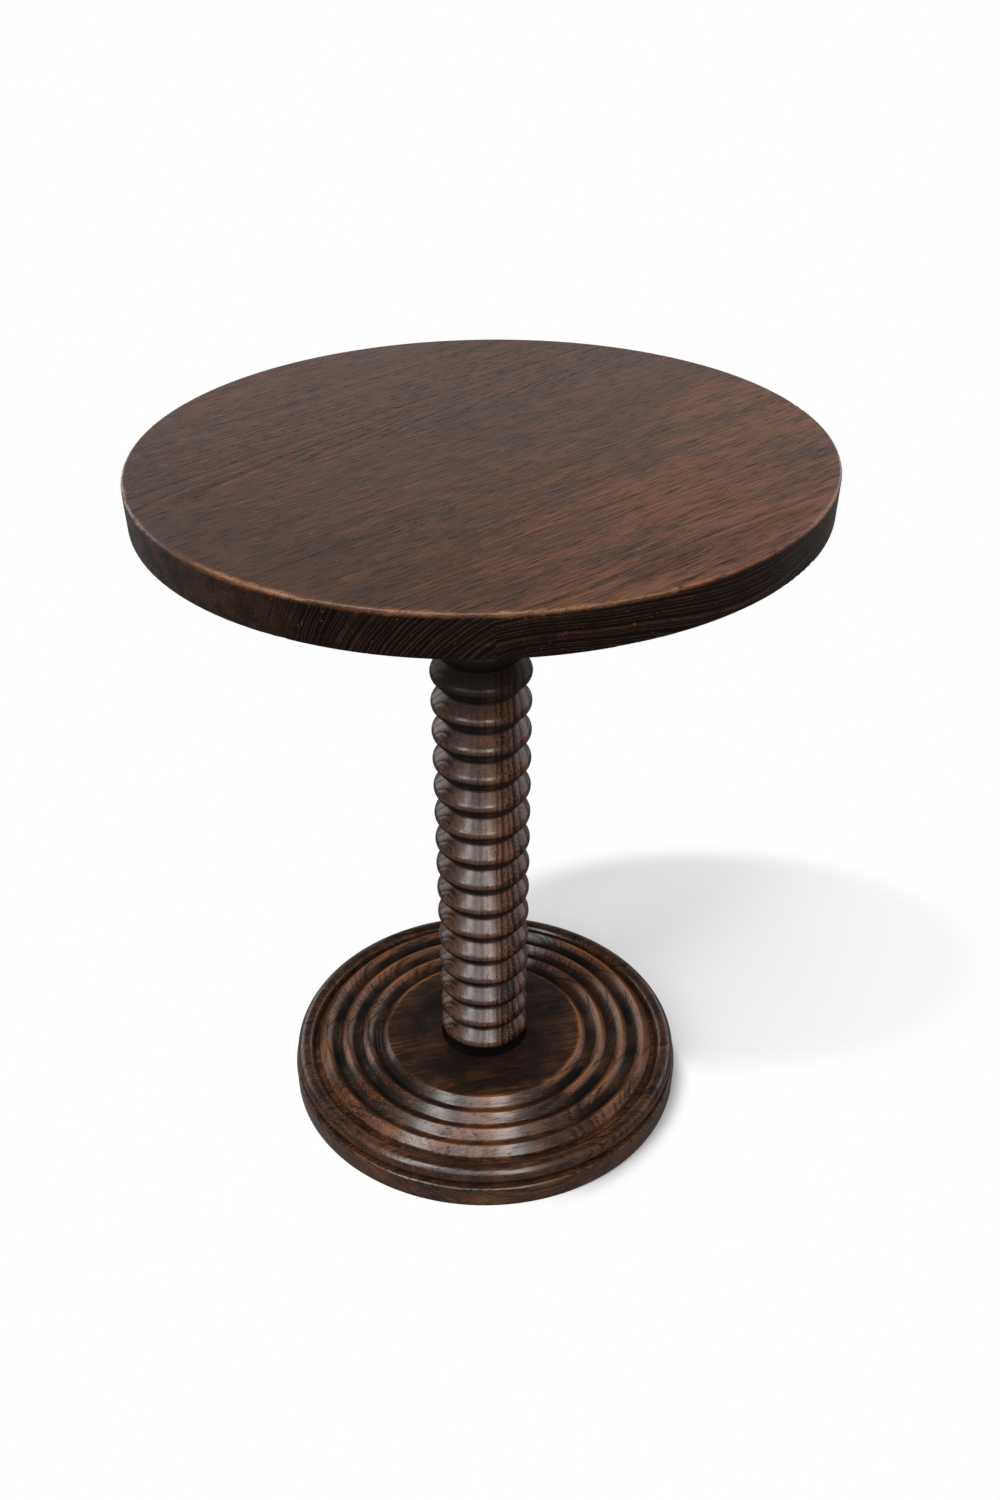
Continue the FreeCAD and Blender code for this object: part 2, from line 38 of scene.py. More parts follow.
# %% A wire that can be added, scaled and compared
class Wire:
    """One output socket of a node, with arithmetic that adds Math nodes."""

    def __init__(self, paint, socket):
        self.paint = paint
        self.socket = socket

    def maths(self, operation, *values):
        return self.paint.node("ShaderNodeMath", {"operation": operation}, dict(enumerate(values)))

    def __add__(self, other):
        return self.maths("ADD", self, other)

    def __sub__(self, other):
        return self.maths("SUBTRACT", self, other)

    def __rsub__(self, other):
        return self.maths("SUBTRACT", other, self)

    def __mul__(self, other):
        return self.maths("MULTIPLY", self, other)

    def __truediv__(self, other):
        return self.maths("DIVIDE", self, other)

    def __pow__(self, other):
        return self.maths("POWER", self, other)

    def __abs__(self):
        return self.maths("ABSOLUTE", self)

    __radd__ = __add__
    __rmul__ = __mul__

    def fraction(self):
        return self.maths("FRACT", self)

    def least(self, other):
        return self.maths("MINIMUM", self, other)

    def most(self, other):
        return self.maths("MAXIMUM", self, other)

    def root(self):
        return self.maths("SQRT", self)

    def swing(self):
        """Noise moved from about 0.5 to about 0, so that it both raises and lowers a value."""
        return self - 0.5

    def step(self, low, high):
        """0 below low, 1 above high, and a smooth rise between; falls where low is above high."""
        return self.paint.node("ShaderNodeMapRange", {"interpolation_type": "SMOOTHSTEP"},
                               {"Value": self, "From Min": low, "From Max": high})


print("wires ready")

# %% One node tree and its nodes
# A Mix node has several sockets of the same name, so those for colours go by number.
MIX_FACTOR, MIX_FIRST, MIX_SECOND, MIX_COLOUR = 0, 6, 7, 2


class Paint:
    """The node tree of a material or of the world, with one method that adds any node."""

    def __init__(self, owner):
        owner.use_nodes = True
        self.owner = owner
        self.tree = owner.node_tree
        self.tree.nodes.clear()

    def node(self, kind, settings=None, inputs=None, out=0):
        """Add a node: its settings first, then the values or wires of its sockets."""
        made = self.tree.nodes.new(kind)
        for name, value in (settings or {}).items():
            setattr(made, name, value)
        for key, value in (inputs or {}).items():
            if isinstance(value, Wire):
                self.tree.links.new(value.socket, made.inputs[key])
            else:
                made.inputs[key].default_value = value
        return Wire(self, made.outputs[out]) if made.outputs else None

    def parts(self, vector):
        """The three numbers of a vector."""
        split = self.node("ShaderNodeSeparateXYZ", {}, {0: vector})
        return [Wire(self, socket) for socket in split.socket.node.outputs]

    def scaled(self, vector, factors):
        """A vector with each of its three numbers multiplied by a factor of its own."""
        return self.node("ShaderNodeVectorMath", {"operation": "MULTIPLY"}, {0: vector, 1: factors})

    def noise(self, vector, scale, detail=2.0, rough=0.5):
        """Cloudy noise about 0.5, with as many clouds to the vector's unit as the scale says."""
        return self.node("ShaderNodeTexNoise", {}, {
            "Vector": vector, "Scale": scale, "Detail": detail, "Roughness": rough})

    def blend(self, factor, first, second):
        """Mix two colours by a factor."""
        return self.node("ShaderNodeMix", {"data_type": "RGBA"}, {
            MIX_FACTOR: factor, MIX_FIRST: first, MIX_SECOND: second}, out=MIX_COLOUR)

    def mix(self, factor, first, second):
        """Mix two shaders by a factor."""
        return self.node("ShaderNodeMixShader", {}, {0: factor, 1: first, 2: second})

    def surface(self, shader, end="ShaderNodeOutputMaterial"):
        """Join a shader to the tree's output and give back what the tree belongs to."""
        self.node(end, {}, {"Surface": shader})
        return self.owner


print("node trees ready")

# %% [markdown]
# ## Oak as a solid
#
# Wood is not a picture laid on a surface: rings run right through a board, so the same ring is a
# long streak on the face, an arch on the edge and a nest of loops on a bead. Each board therefore
# gets a log of its own. A Mapping node moves the object's coordinates to that log, with X along the
# pith and millimetres as the unit. The distance from the pith, bent a little by noise, counts the
# rings; long thin noise gives the pores that took up most of the stain.

# %% The colours of the stain
PORE = (0.0025, 0.0015, 0.0011, 1.0)    # stain that filled an open pore
DEEP = (0.022, 0.0100, 0.0058, 1.0)     # the thick stain of the column and the foot
STAIN = (0.046, 0.0215, 0.0125, 1.0)    # the even stain of the top
AMBER = (0.158, 0.060, 0.025, 1.0)      # stain worn thin
BARE = (0.300, 0.122, 0.046, 1.0)       # oak with its stain rubbed off
SHADE_AND_GRIME = (0.0030, 0.0022, 0.0019, 1.0)   # black painted as shade under beads and in recesses, with some dust
WAX_HAZE_SHEEN = (0.100, 0.066, 0.058, 1.0)      # painted sheen: grey of the lit upper slopes, partly old wax
print("stain from", DEEP[:3], "to", BARE[:3])

# %% Where a point is in its log, and where on the table
MM = 0.001
IN_MM = (1000.0, 1000.0, 1000.0)


def log_space(paint, pith, turn):
    """Object coordinates, and the same seen from a log: pith at a point, length along X, millimetres."""
    here = paint.node("ShaderNodeTexCoord", out="Object")
    return here, paint.node("ShaderNodeMapping", {"vector_type": "TEXTURE"}, {
        "Vector": here, "Location": pith, "Rotation": turn, "Scale": (MM, MM, MM)})


def round_place(paint, here):
    """Distance from the table's axis and height, in millimetres."""
    x, y, z = paint.parts(paint.scaled(here, IN_MM))
    return (x * x + y * y).root(), z


def facing(paint, here, side):
    """How far a point faces a side, in degrees from +X: the cosine of the angle between the two."""
    x, y, _ = paint.parts(here)
    angle = math.radians(side)
    return (x * math.cos(angle) + y * math.sin(angle)) / (x * x + y * y).root()


print("places ready: log, distance and height, side")

# %% Growth rings
def grain_noise(paint, log, along, across, detail=2.0, rough=0.5):
    """Noise drawn out along the grain: clouds to the millimetre along it and across it."""
    return paint.noise(paint.scaled(log, (along, across, across)), 1.0, detail, rough)


def ring_noise(paint, place):
    """Noise of one number, so that it is the same all along a ring."""
    return paint.node("ShaderNodeTexNoise", {"noise_dimensions": "1D"}, {
        "W": place, "Scale": 1.0, "Detail": 1.0})


def growth_rings(paint, log, spacing, wave):
    """Shade of the growth rings: 1 in the porous early wood, 0 in the dense late wood.

    Ring count = (distance from the pith + slow waves) / spacing, and within one ring the shade
    falls away from the early wood and jumps back at the next ring. Some rings are deeper than others.
    """
    _, across, deep = paint.parts(log)
    slow = grain_noise(paint, log, along=0.0032, across=0.014)
    quick = grain_noise(paint, log, along=0.010, across=0.075)
    radius = (across * across + deep * deep).root() + slow.swing() * wave + quick.swing() * 2.0
    uneven = ring_noise(paint, radius / (spacing * 2.6))
    phase = ((radius + uneven * spacing * 2.2) / spacing).fraction()
    depth = ring_noise(paint, radius / (spacing * 1.6) + 40.0).step(0.28, 0.62) * 0.7 + 0.3
    return phase.step(0.66, 0.0).most(phase.step(0.84, 1.0)) * depth


print("growth rings ready")

# %% Pores, fibres, streaks and marks
SPECKS, SCRATCHES = 480.0, (34.0, 620.0, 90.0)
SCRATCH_TURNS = (0.9, 2.3)


def pore_lines(paint, log, ring):
    """Open pores: short dark dashes along the grain, thickest in the early wood."""
    fine = grain_noise(paint, log, along=0.060, across=1.0, rough=0.6)
    return fine.step(0.53, 0.62) * (ring * 0.6 + 0.4)


def fibres(paint, log):
    """Fine change of shade across the grain: lines a millimetre wide and a thumb long."""
    return grain_noise(paint, log, along=0.040, across=0.75, detail=3.0, rough=0.65)


def streaks(paint, log):
    """Slow change of colour along the grain: bands a finger wide and a hand long."""
    return grain_noise(paint, log, along=0.0042, across=0.034, detail=3.0, rough=0.6)


def flames(paint, log):
    """Tongues of thinner stain along the grain, with plain borders."""
    return grain_noise(paint, log, along=0.012, across=0.045, detail=3.0, rough=0.6).step(0.46, 0.66)


def lathe_marks(paint, here):
    """Fine rings left by the turning tool and the rag: noise of the distance and height alone."""
    section = paint.node("ShaderNodeCombineXYZ", {}, dict(enumerate(round_place(paint, here))))
    return paint.noise(section, 1.1, 2.0, 0.6)


def marks(paint, here):
    """Small pale specks and short scratches in two directions."""
    specks = paint.noise(here, SPECKS, 1.0).step(0.71, 0.79)
    for angle in SCRATCH_TURNS:
        turned = paint.node("ShaderNodeMapping", {}, {
            "Vector": here, "Rotation": (0.0, 0.0, angle), "Scale": SCRATCHES})
        specks = specks.most(paint.noise(turned, 1.0, 1.0).step(0.775, 0.83))
    return specks


print("pores, fibres, streaks and marks ready")

# %% [markdown]
# ## The waxed finish
#
# Dark stain fills the pores and the early wood; hands and dusters take it off wherever an edge
# stands out. Wear could be painted on each board by hand, but every edge of this table is a circle
# round its axis, so masks of the distance from that axis and of the height find the edges by
# themselves. The wax gives a half gloss, duller over open pores, and a small bump lets the grain
# catch the light.

# %% The oak finish as one function
PATCHES, BLOTCHES = 11.0, 60.0          # clouds to the metre: a palm wide and a finger wide
MID_LIGHT, BUMP_DEPTH, BARE_SHINE = 0.24, 0.0006, 0.15


def oak(name, pith, turn, spacing=3.0, wave=12.0, tone=0.0, spread=0.45, grain=1.0, contrast=0.3,
        mottle=0.0, lathe=0.0, shades=(STAIN, AMBER), sawn=None, calm=None, painted_sheen=0.0, faded=None,
        wear=None, grime=None, gloss=0.34, coat=1.0, haze_width=0.26, bump=0.12):
    """Stained, waxed oak cut from one log.

    tone shifts all of it lighter, spread is how far the streaks part, grain how far the fibres do,
    contrast how dark the rings are, mottle how blotched the stain is and lathe how plain the turning
    marks are. coat is how much wax there is, haze_width how wide its gloss spreads, and gloss the
    roughness of the wood under it; one amount says how much grey sheen is painted into the colour
    where the face is lit, partly the grey of old wax. The masks say where a sawn edge shows its rings,
    where the face is lit and its rings calmed, where the stain has faded, where edges are worn, and
    where black is painted as shade, with some dirt.
    """
    paint = Paint(bpy.data.materials.new(name))
    here, log = log_space(paint, pith, turn)
    ring = growth_rings(paint, log, spacing, wave)
    pores = pore_lines(paint, log, ring)
    streak = streaks(paint, log)
    fibre = fibres(paint, log)
    patch = paint.noise(here, PATCHES)

    # how light the stain is, and what stands up in the bump
    light = streak.swing() * (2.0 * spread) + fibre.swing() * (2.0 * grain)
    light = light + patch.swing() * 0.5 + (MID_LIGHT + tone)
    relief = (1.0 - pores) * 0.6 - ring * 0.3 + fibre * 0.4
    if mottle:
        light = light + paint.noise(here, BLOTCHES, 4.0, 0.65).swing() * mottle
    if lathe:
        turned = lathe_marks(paint, here)
        light = light + turned.swing() * lathe
        relief = relief + turned * 0.5
    if faded is not None:
        bleach = streak.swing() * 1.5 + fibre.swing() * 3.2 + patch.swing() * 2.0
        bleach = bleach + flames(paint, log) * 0.8 + 0.3
        light = light + faded(paint, here) * bleach

    # how dark the rings are
    dark = ring * contrast
    if sawn is not None:
        edge, plain = sawn(paint, here)
        light = light * (1.0 - edge * 0.5)
        blotch = paint.noise(here, BLOTCHES, 5.0, 0.7).step(0.30, 0.66) * 0.8
        dark = dark + edge * ((ring.step(-0.12, 0.20) * plain).most(blotch) * 0.97 - dark)
    # where the face is lit, its rings are calmed: partly painted light
    if calm is not None:
        calmed_and_lit = calm(paint, here)
        dark = dark * (1.0 - calmed_and_lit * 0.6)

    # the colours, each over the one before
    colour = paint.blend(light.most(0.0).least(1.0), *shades)
    colour = paint.blend(dark, colour, PORE)
    colour = paint.blend(pores * 0.75, colour, PORE)
    # painted sheen: grey laid into the colour on the lit upper slopes
    if calm is not None:
        colour = paint.blend(calmed_and_lit * painted_sheen, colour, WAX_HAZE_SHEEN)
    colour = paint.blend(marks(paint, here) * 0.5, colour, BARE)
    if wear is not None:
        colour = paint.blend(wear(paint, here) * (1.0 - pores * 0.5), colour, BARE)

    # how dull the wood is, how much wax lies on it, and, over all of it, black painted as shade, with some
    # dirt
    dull = pores * 0.16 + fibre.swing() * 0.3 + patch.swing() * 0.25 + gloss
    wax = (1.0 - dark * 0.8 - pores * 0.8).most(0.0) * coat
    if sawn is not None:
        wax = wax * (1.0 - edge * plain * 0.8)
    if grime is not None:
        shade_and_dirt = grime(paint, here)
        colour = paint.blend(shade_and_dirt, colour, SHADE_AND_GRIME)
        dull = dull + shade_and_dirt * 0.25
        wax = wax * (1.0 - shade_and_dirt)
    normal = paint.node("ShaderNodeBump", {}, {
        "Strength": bump, "Distance": BUMP_DEPTH, "Height": relief})
    shader = paint.node("ShaderNodeBsdfPrincipled", {}, {
        "Base Color": colour, "Roughness": dull, "Normal": normal, "Specular IOR Level": BARE_SHINE,
        "Coat Weight": wax, "Coat Roughness": haze_width})
    return paint.surface(shader)


print("oak finish ready")

# %% [markdown]
# ## The round top
#
# Five boards with their grain along X. One wide picture of wood could colour the face, but then the
# rim would show no ring ends; five logs cut by the same disc give both. The front right edge shows
# arches, so the outer board's pith lies just under it; the next board shows steep lines that lean
# the same way, so its pith lies low and further out; the board left of the middle shows long pointed
# curves, so its log is tilted. The rim's far left and right are rubbed and blotched, and hide most of
# their rings; its upper edge is worn to bare oak in patches.

# %% Wear of the top boards
TOP_RADIUS, TOP_HIGH = 250.0, 607.2
WORN_SIDE, RUBBED_LEFT, RUBBED_RIGHT = 200, 150, 340
FADED_WAY, DARK_WAY = (0.50, -0.87), (-0.95, -0.31)


def worn_rim(paint, here):
    """Orange where the upper edge is rubbed, in patches round the rim and wider at the left."""
    distance, height = round_place(paint, here)
    nicks = paint.noise(here, 120.0, 3.0)
    left = facing(paint, here, WORN_SIDE).step(0.55, 0.95)
    gap = abs(distance - TOP_RADIUS) + abs(height - TOP_HIGH)
    edge = (gap + nicks.swing() * 6.0 - left * 1.2).step(2.8, 0.8)
    patches = paint.noise(here, 22.0, 3.0).step(0.40, 0.62)
    return edge * (patches * 0.6 + 0.05)


def top_side(paint, here):
    """1 on the rim and the underside, 0 on the upper face, and how plainly the rings show there."""
    _, height = round_place(paint, here)
    left = facing(paint, here, RUBBED_LEFT).step(0.54, 0.77)
    right = facing(paint, here, RUBBED_RIGHT).step(0.60, 0.90)
    return height.step(TOP_HIGH - 1.5, TOP_HIGH - 4.5), 1.0 - left.most(right) * 0.75


def faded_side(paint, here):
    """The upper face's front right, where light and use have faded the stain; below 0 on its dark left."""
    x, y, z = paint.parts(paint.scaled(here, IN_MM))
    faded = (x * FADED_WAY[0] + y * FADED_WAY[1]).step(20.0, 230.0)
    darker = (x * DARK_WAY[0] + y * DARK_WAY[1]).step(70.0, 240.0)
    return (faded - darker * 0.45) * z.step(TOP_HIGH - 3.0, TOP_HIGH - 1.0)


print("top", 2 * TOP_RADIUS, "mm wide, its face", TOP_HIGH, "mm up")

# %% Finish of the top boards
TOP_BOARDS = {
    "top_board_1": dict(pith=(0, -0.221, 0.545), turn=(0, 0.0, 0), spacing=2.3, tone=0.12, contrast=0.45),
    "top_board_2": dict(pith=(0, -0.260, 0.520), turn=(0, 0.01, 0), spacing=2.2, contrast=0.30),
    "top_board_3": dict(pith=(0, 0.160, 0.480), turn=(0, 0.0, 0), spacing=2.2, tone=-0.03, contrast=0.30),
    "top_board_4": dict(pith=(0, 0.058, 0.567), turn=(0, -0.072, 0), spacing=3.0, tone=0.04, contrast=0.50),
    "top_board_5": dict(pith=(0, 0.120, 0.540), turn=(0, 0.0, 0), spacing=2.4, tone=0.06, contrast=0.32),
}
for name, cut in TOP_BOARDS.items():
    nodes[name].data.materials[0] = oak(
        "oak_" + name, mottle=0.9, spread=0.28, grain=1.9, coat=0.74, haze_width=0.36,
        sawn=top_side, faded=faded_side, wear=worn_rim, **cut)
print("finished", len(TOP_BOARDS), "top boards")

# %% [markdown]
# ## The column
#
# One turned post, its grain upright. Plain upright stripes would do for a straight post, but beads
# cut through the rings, so the rings come from a log here too. Its pith lies just outside the left
# side, so there the beads cut the rings as loops, like a knot seen from the side, and further right
# as upright stripes. Between the two the face is smooth. There, on the upper slopes that face the
# soft boxes, a grey sheen is painted into the colour, partly the grey of old wax. Black is painted as
# shade under each bead, in the grooves and in the seat, and as the top's shadow on the last beads.

# %% Finish of the column
BASE_HIGH, BEAD_PITCH = 46.0, 26.8
WARM_SIDE, SHEEN_SIDE = 275, 216
# heights over which the top's painted shadow darkens the column
TOP_SHADOW_FROM, TOP_SHADOW_TO = 398.0, 452.0


def warm_side(paint, here):
    """The column's right side, where the stain is thin and the oak shows orange."""
    return facing(paint, here, WARM_SIDE).step(0.55, 0.95)


def bead_turn(paint, here):
    """Where a point is on its bead: 0 in the groove below, 0.5 on the crest, 1 in the groove above."""
    _, height = round_place(paint, here)
    return ((height - BASE_HIGH) / BEAD_PITCH).fraction()


def calm_face(paint, here):
    """The column's face towards the soft boxes: rings calmed, and grey sheen painted on the upper slopes.
    """
    ragged = paint.noise(here, 45.0, 3.0).swing() * 0.35
    face = (facing(paint, here, SHEEN_SIDE) + ragged).step(0.76, 0.92)
    return face * bead_turn(paint, here).step(0.38, 0.55)


def shade_under_beads(paint, here):
    """Painted shade: black under each bead, in its groove and in the seat, and the top's shadow on the last
    beads.
    """
    _, height = round_place(paint, here)
    turn = bead_turn(paint, here)
    ragged = paint.noise(here, 40.0, 3.0)
    # painted shade on the underside of each bead
    under = (turn + ragged.swing() * 0.10).step(0.53, 0.44) * (0.95 - warm_side(paint, here) * 0.25)
    seat = height.step(BASE_HIGH + 12.0, BASE_HIGH + 4.0)
    # painted shadow of the top on the last beads, and painted shade in the seat
    ends = seat.most(height.step(TOP_SHADOW_FROM, TOP_SHADOW_TO) * 0.92)
    return under.most(turn.step(0.94, 0.98) * 0.8).most(ends)


# painted into the column's colour: a grey sheen on its lit face, and black shade under the beads
nodes["column"].data.materials[0] = oak(
    "oak_column", pith=(-0.056, 0.002, 0), turn=(0, -math.pi / 2, 0), spacing=6.0, wave=9.0, tone=0.06,
    spread=0.9, grain=1.5, lathe=0.5, shades=(DEEP, AMBER), contrast=0.95, painted_sheen=0.28, bump=0.10,
    calm=calm_face, faded=warm_side, grime=shade_under_beads)
print("finished the column")

# %% [markdown]
# ## The foot
#
# Two layers of three boards each, one on the other. The upper one is turned: a flat with a shallow
# seat for the column, three coves, a bevel, a valley and a torus. Its crests are worn to bare oak.
# Black is painted as shade, with some dust, into the bottoms of the coves and into the seat, but not
# on the front that faces the lamps, where the rings are calmed so that it reads lit; the flat round
# the column is darker in patches. A node that looks for sharp edges could find the crests, but it
# needs joined faces, and the solids are loose triangles.
# So the crests are found by their distance from the axis: one at every pitch.

# %% Wear, dirt and painted shade of the foot
OUTER_CREST, COVE_PITCH = 153.4, 20.0
# the first side is lit and keeps no painted shade in its coves; the second is lit and has its rings calmed
LIT_COVE_SIDE, LIT_FRONT_SIDE = 228, 222


def band(distance, inner, outer):
    """A ring round the axis: rises over the inner pair of distances and falls over the outer pair."""
    return distance.step(*inner) * distance.step(*outer)


def worn_crests(paint, here):
    """Orange along each crest of the coves: a narrow peak at every pitch from the outer crest."""
    distance, height = round_place(paint, here)
    turn = ((distance - OUTER_CREST) / COVE_PITCH + 8.5).fraction()
    ragged = paint.noise(here, 60.0, 3.0)
    crest = (abs(turn - 0.5) + ragged.swing() * 0.18).step(0.10, 0.02)
    crest = crest * height.step(BASE_HIGH - 4.0, BASE_HIGH - 0.6)
    patches = paint.noise(here, 11.0, 4.0).step(0.46, 0.66)
    return crest * band(distance, (84.0, 92.0), (172.0, 160.0)) * (patches * 0.75 + 0.05)


def shade_in_hollows(paint, here):
    """Painted shade at the bottom of the coves, spared on the lit front, and in the seat; darker in
    blotches on the flat round the column.
    """
    distance, height = round_place(paint, here)
    cove = height.step(BASE_HIGH - 1.6, BASE_HIGH - 5.2) * band(distance, (90.0, 96.0), (160.0, 154.0))
    patches = paint.noise(here, 24.0, 3.0).step(0.35, 0.65)
    flat = distance.step(99.0, 62.0) * (patches * 0.4 + 0.45)
    # the lit front keeps no painted shade
    lit_front = facing(paint, here, LIT_COVE_SIDE).step(0.70, 0.93) * 0.85
    cove = cove * (patches * 0.35 + 0.65) * (1.0 - lit_front)
    # painted shade in the seat round the column
    return cove.most(flat).most(distance.step(41.5, 39.5))


def calm_flat_and_lit_front(paint, here):
    """The flat round the column, where the grain hardly shows, and the lit front of the coves, its rings
    calmed as painted light.
    """
    distance, height = round_place(paint, here)
    flat = distance.step(94.0, 88.0) * height.step(BASE_HIGH - 3.0, BASE_HIGH - 1.0) * 0.6
    # painted light: lighter rings on the front of the coves that faces the boxes
    return flat.most(facing(paint, here, LIT_FRONT_SIDE).step(0.78, 0.95) * distance.step(90.0, 98.0))


def rubbed_rings(paint, here):
    """Patches among the coves where the stain is thin and red."""
    distance, _ = round_place(paint, here)
    among = band(distance, (88.0, 96.0), (168.0, 154.0))
    return paint.noise(here, 13.0, 3.0).step(0.42, 0.60) * among * 1.7


print("foot's coves:", COVE_PITCH, "mm apart, the outer crest", OUTER_CREST, "mm from the axis")

# %% Finish of the foot
GRAIN_TURN = math.radians(-25)
PITH_SIDES = (-0.09, 0.03, 0.14)


def finish_layer(layer, low, **own):
    """Oak for a layer's three boards, each from a log of its own, with its pith at a height."""
    for number, side in enumerate(PITH_SIDES, start=1):
        name = "%s_board_%d" % (layer, number)
        across = Matrix.Rotation(GRAIN_TURN, 3, "Z") @ Vector((0, side, 0))
        nodes[name].data.materials[0] = oak(
            "oak_" + name, pith=(across.x, across.y, low), turn=(0, 0, GRAIN_TURN), spacing=2.8,
            spread=0.7, contrast=0.65, mottle=1.5, lathe=0.4, shades=(DEEP, AMBER), haze_width=0.22,
            faded=rubbed_rings, **own)
        print("finished", name)


finish_layer("moulding", low=-0.012, tone=-0.06, wear=worn_crests, grime=shade_in_hollows, calm=calm_flat_and_lit_front)
finish_layer("plinth", low=-0.045, tone=0.14)

# %% [markdown]
# ## What the top and the foot hide
#
# Tongues, wedges and the cleat are the same oak, unwaxed; the screws are old steel. They hardly show,
# so one log serves for all of the oak, and one steel for all of the screws.

# %% Finish of the hidden oak and the screws
STEEL, RUST = (0.32, 0.31, 0.29, 1.0), (0.10, 0.04, 0.018, 1.0)

hidden = oak(
    "oak_hidden", pith=(0.02, 0.11, 0.40), turn=(0, 0, math.pi / 2), tone=0.25, gloss=0.6, coat=0.0)
for name in nodes:
    if "tongue" in name or "wedge" in name or name == "cleat":
        nodes[name].data.materials[0] = hidden


def old_steel():
    """Dull screw steel with patches of rust."""
    paint = Paint(bpy.data.materials.new("screw_steel"))
    here = paint.node("ShaderNodeTexCoord", out="Object")
    rust = paint.noise(here, 420.0, 3.0).step(0.45, 0.65)
    shader = paint.node("ShaderNodeBsdfPrincipled", {}, {
        "Base Color": paint.blend(rust, STEEL, RUST), "Metallic": 1.0 - rust * 0.9,
        "Roughness": rust * 0.35 + 0.35})
    return paint.surface(shader)


steel = old_steel()
for name in ("cleat_screws", "base_screws"):
    nodes[name].data.materials[0] = steel
print("finished the hidden pieces")

# %% [markdown]
# ## The camera
#
# The photograph was taken from above the top's front left, with a slight turn of the camera. A camera
# could be moved by eye until the picture fits, but a small error in its height shows in every ellipse.
# So its place and lens were worked out from the ellipses of the top and the foot. The picture was
# cropped, so the lens axis isn't at its centre: that is the camera's shift.

# %% Camera
PHOTO_WIDE, PHOTO_HIGH = 1000, 1500
FOCAL_PIXELS, AXIS_X, AXIS_Y = 1370.9, 454.4, 977.3
CAMERA_SIDE, CAMERA_DISTANCE, CAMERA_HEIGHT = math.radians(-40), 0.9715, 0.9674
PITCH, YAW, ROLL = 0.7221, -0.0287, -0.0283

lens = bpy.data.cameras.new("camera")
lens.sensor_width = 36.0
lens.lens = FOCAL_PIXELS / PHOTO_HIGH * lens.sensor_width
lens.shift_x = (PHOTO_WIDE / 2 - AXIS_X) / PHOTO_HIGH
lens.shift_y = (AXIS_Y - PHOTO_HIGH / 2) / PHOTO_HIGH
lens.clip_end = 100.0
camera = bpy.data.objects.new("camera", lens)
camera.matrix_world = (
    Matrix.Rotation(CAMERA_SIDE, 4, "Z") @ Matrix.Translation((0, -CAMERA_DISTANCE, CAMERA_HEIGHT))
    @ Matrix.Rotation(-YAW, 4, "Z") @ Matrix.Rotation(math.pi / 2 - PITCH, 4, "X")
    @ Matrix.Rotation(ROLL, 4, "Z"))
bpy.context.scene.collection.objects.link(camera)
bpy.context.scene.camera = camera
print("camera at", [round(value, 3) for value in camera.matrix_world.translation])

# %% [markdown]
# ## The floor
#
# The photograph's floor is plain white and keeps a soft shadow on the right. A lit white floor would
# turn grey away from the lamps, so this one glows white to the camera, and is lit, and so keeps the
# shadow, only where the photograph has one. The wax mirrors the floor and the world dimly, because
# the photograph's wood shows no white room in it.

# %% Floor
FLOOR_MIRROR, SKY_MIRROR, AMBIENT = 0.14, 0.025, 0.04
RIGHT_X, AWAY_X = 0.766, 0.643
SHADOW_RIGHT, SHADOW_AWAY, SHADOW_WIDE, SHADOW_DEEP = 0.245, 0.168, 0.29, 0.185
# the middle grey is a painted contact shadow next to the foot
PALE_FLOOR, CONTACT_SHADOW_GREY, UNSEEN_FLOOR = 0.92, 0.60, 0.05


def white_rays(paint, mirror):
    """1 for rays that see the background from the camera or through glass, a share for mirrored ones."""
    camera_ray = paint.node("ShaderNodeLightPath", out="Is Camera Ray")
    clear_ray = paint.node("ShaderNodeLightPath", out="Is Transmission Ray")
    glossy_ray = paint.node("ShaderNodeLightPath", out="Is Glossy Ray")
    return camera_ray.most(clear_ray).most(glossy_ray * mirror)


def grey(level):
    return (level, level, level, 1.0)


def white_floor():
    """White to the camera: lit where the table's shadow falls, and plain glow everywhere else.

    Right of the camera's view = 0.766 x - 0.643 y, and away from it = 0.643 x + 0.766 y. The shadow
    shows inside an oval: ((right - its middle) / half its width)^2 + ((away - its middle) / half its
    depth)^2 = 1. It fades to the right, and next to the foot's right side a darker grey is painted in
    as a contact shadow.
    """
    paint = Paint(bpy.data.materials.new("floor_white"))
    x, y, _ = paint.parts(paint.node("ShaderNodeTexCoord", out="Object"))
    right, away = x * RIGHT_X - y * AWAY_X, x * AWAY_X + y * RIGHT_X
    oval = ((right - SHADOW_RIGHT) / SHADOW_WIDE) ** 2.0 + ((away - SHADOW_AWAY) / SHADOW_DEEP) ** 2.0
    shadow = oval.step(1.15, 0.66) * (0.66 - right.step(0.10, 0.52) * 0.46)
    # painted shadow: a darker floor grey next to the foot's right side
    contact_shadow = (x * x + y * y).root().step(0.207, 0.183) * right.step(0.02, 0.12)
    glow = paint.node("ShaderNodeEmission", {}, {"Color": grey(1.0), "Strength": 1.0})
    pale, shaded, unseen = (
        paint.node("ShaderNodeBsdfDiffuse", {}, {"Color": grey(level)})
        for level in (PALE_FLOOR, CONTACT_SHADOW_GREY, UNSEEN_FLOOR))
    lit = paint.mix(contact_shadow, pale, shaded)
    white = paint.mix(shadow.most(contact_shadow), glow, lit)
    return paint.surface(paint.mix(white_rays(paint, FLOOR_MIRROR), unseen, white))


